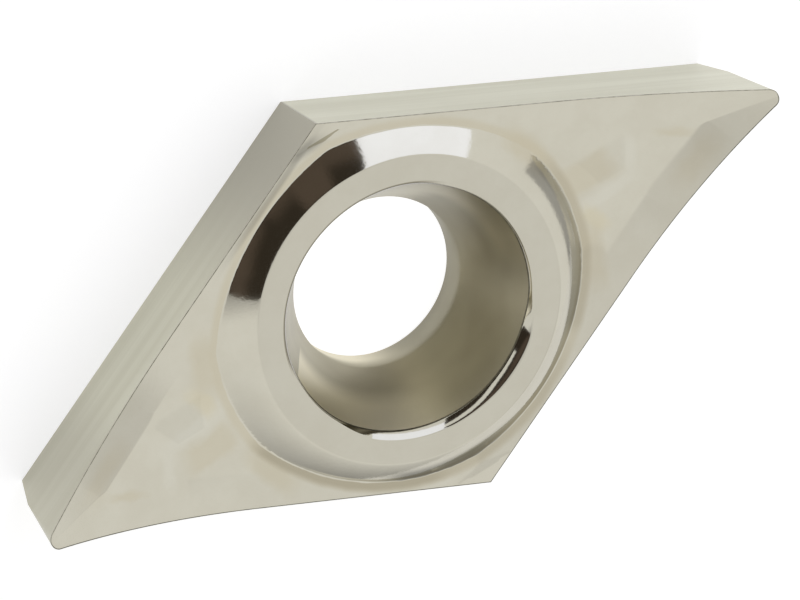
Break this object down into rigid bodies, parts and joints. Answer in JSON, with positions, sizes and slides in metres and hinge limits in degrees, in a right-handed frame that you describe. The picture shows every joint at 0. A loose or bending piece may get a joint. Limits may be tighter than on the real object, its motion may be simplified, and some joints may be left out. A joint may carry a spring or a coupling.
{
  "type": "carbide insert",
  "caption": "Rhombic positive turning insert in solid carbide, with a polished high-rake chip breaker, a ring boss round its screw hole and ground, leaning flanks.",
  "frame": {"origin": "centre of the seat face, on the axis of the screw hole", "axes": "+Z along the hole out of the rake side, +X along the long diagonal to a cutting corner, +Y along the short diagonal to a blunt corner"},
  "size_m": [0.0132, 0.007, 0.0022],
  "materials": {
    "carbide": "uncoated cemented carbide: rake side polished, flanks ground, hole as sintered"
  },
  "bodies": {
    "root": {"insert_body": "carbide"}
  },
  "joints": []
}
